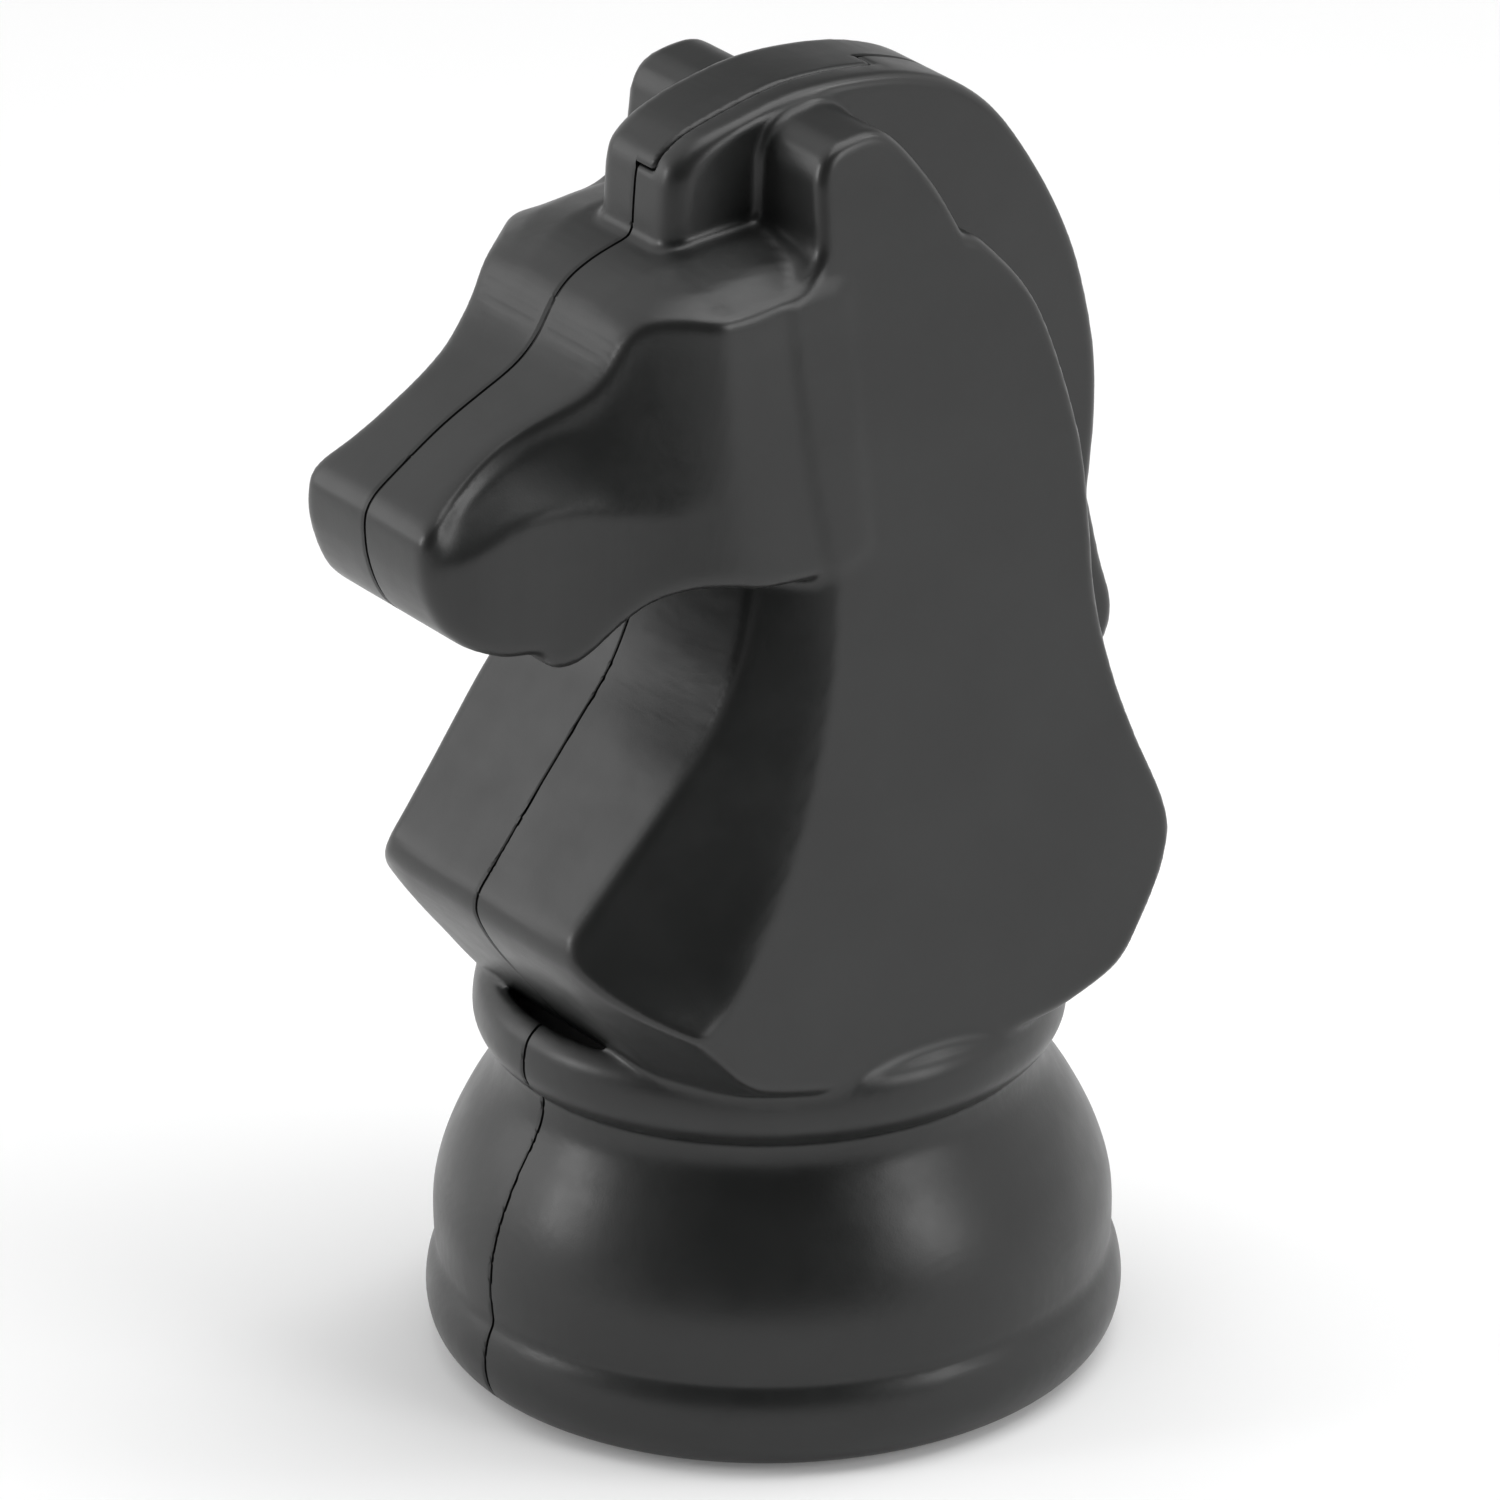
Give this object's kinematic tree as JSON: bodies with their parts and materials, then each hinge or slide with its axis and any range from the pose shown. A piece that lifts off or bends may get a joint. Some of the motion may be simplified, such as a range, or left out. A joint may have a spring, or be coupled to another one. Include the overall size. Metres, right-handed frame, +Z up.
{
  "type": "giant chess knight",
  "caption": "Large hollow plastic chess knight for lawn play: flat-sided horse head and raised mane on a round stepped base, moulded in two halves, with a filler plug underneath.",
  "frame": {"origin": "middle of the round base on its resting plane", "axes": "+Z up, the knight faces -Y, its left flank is +X"},
  "size_m": [0.2286, 0.276, 0.4385],
  "materials": {
    "shell_plastic": "fine-grained satin black moulded polyethylene",
    "cover_plastic": "satin black moulded plastic",
    "plug_plastic": "satin black moulded plastic",
    "seal_rubber": "matt black",
    "fastener_steel": "bright zinc"
  },
  "bodies": {
    "knight": {"left_shell": "shell_plastic", "right_shell": "shell_plastic", "seam_gasket": "seal_rubber", "tie_bolts": "fastener_steel", "tie_nuts": "fastener_steel", "dowel_pins": "fastener_steel", "base_plate": "cover_plastic", "base_gasket": "seal_rubber", "base_screws": "fastener_steel"},
    "plug_carrier": {"filler_seal": "seal_rubber"},
    "plug": {"filler_plug": "plug_plastic"}
  },
  "joints": [
    {"name": "plug_lift", "type": "slide", "parent": "knight", "child": "plug_carrier", "axis": [0, 0, -1], "range_m": [0, 0.024]},
    {"name": "plug_turn", "type": "hinge", "parent": "plug_carrier", "child": "plug", "pos_m": [0, 0.046, 0], "axis": [0, 0, -1], "range_deg": [0, 1440]}
  ],
  "couplings": [
    {"joint": "plug_lift", "follows": "plug_turn", "m_per_rad": 0.00095493}
  ]
}
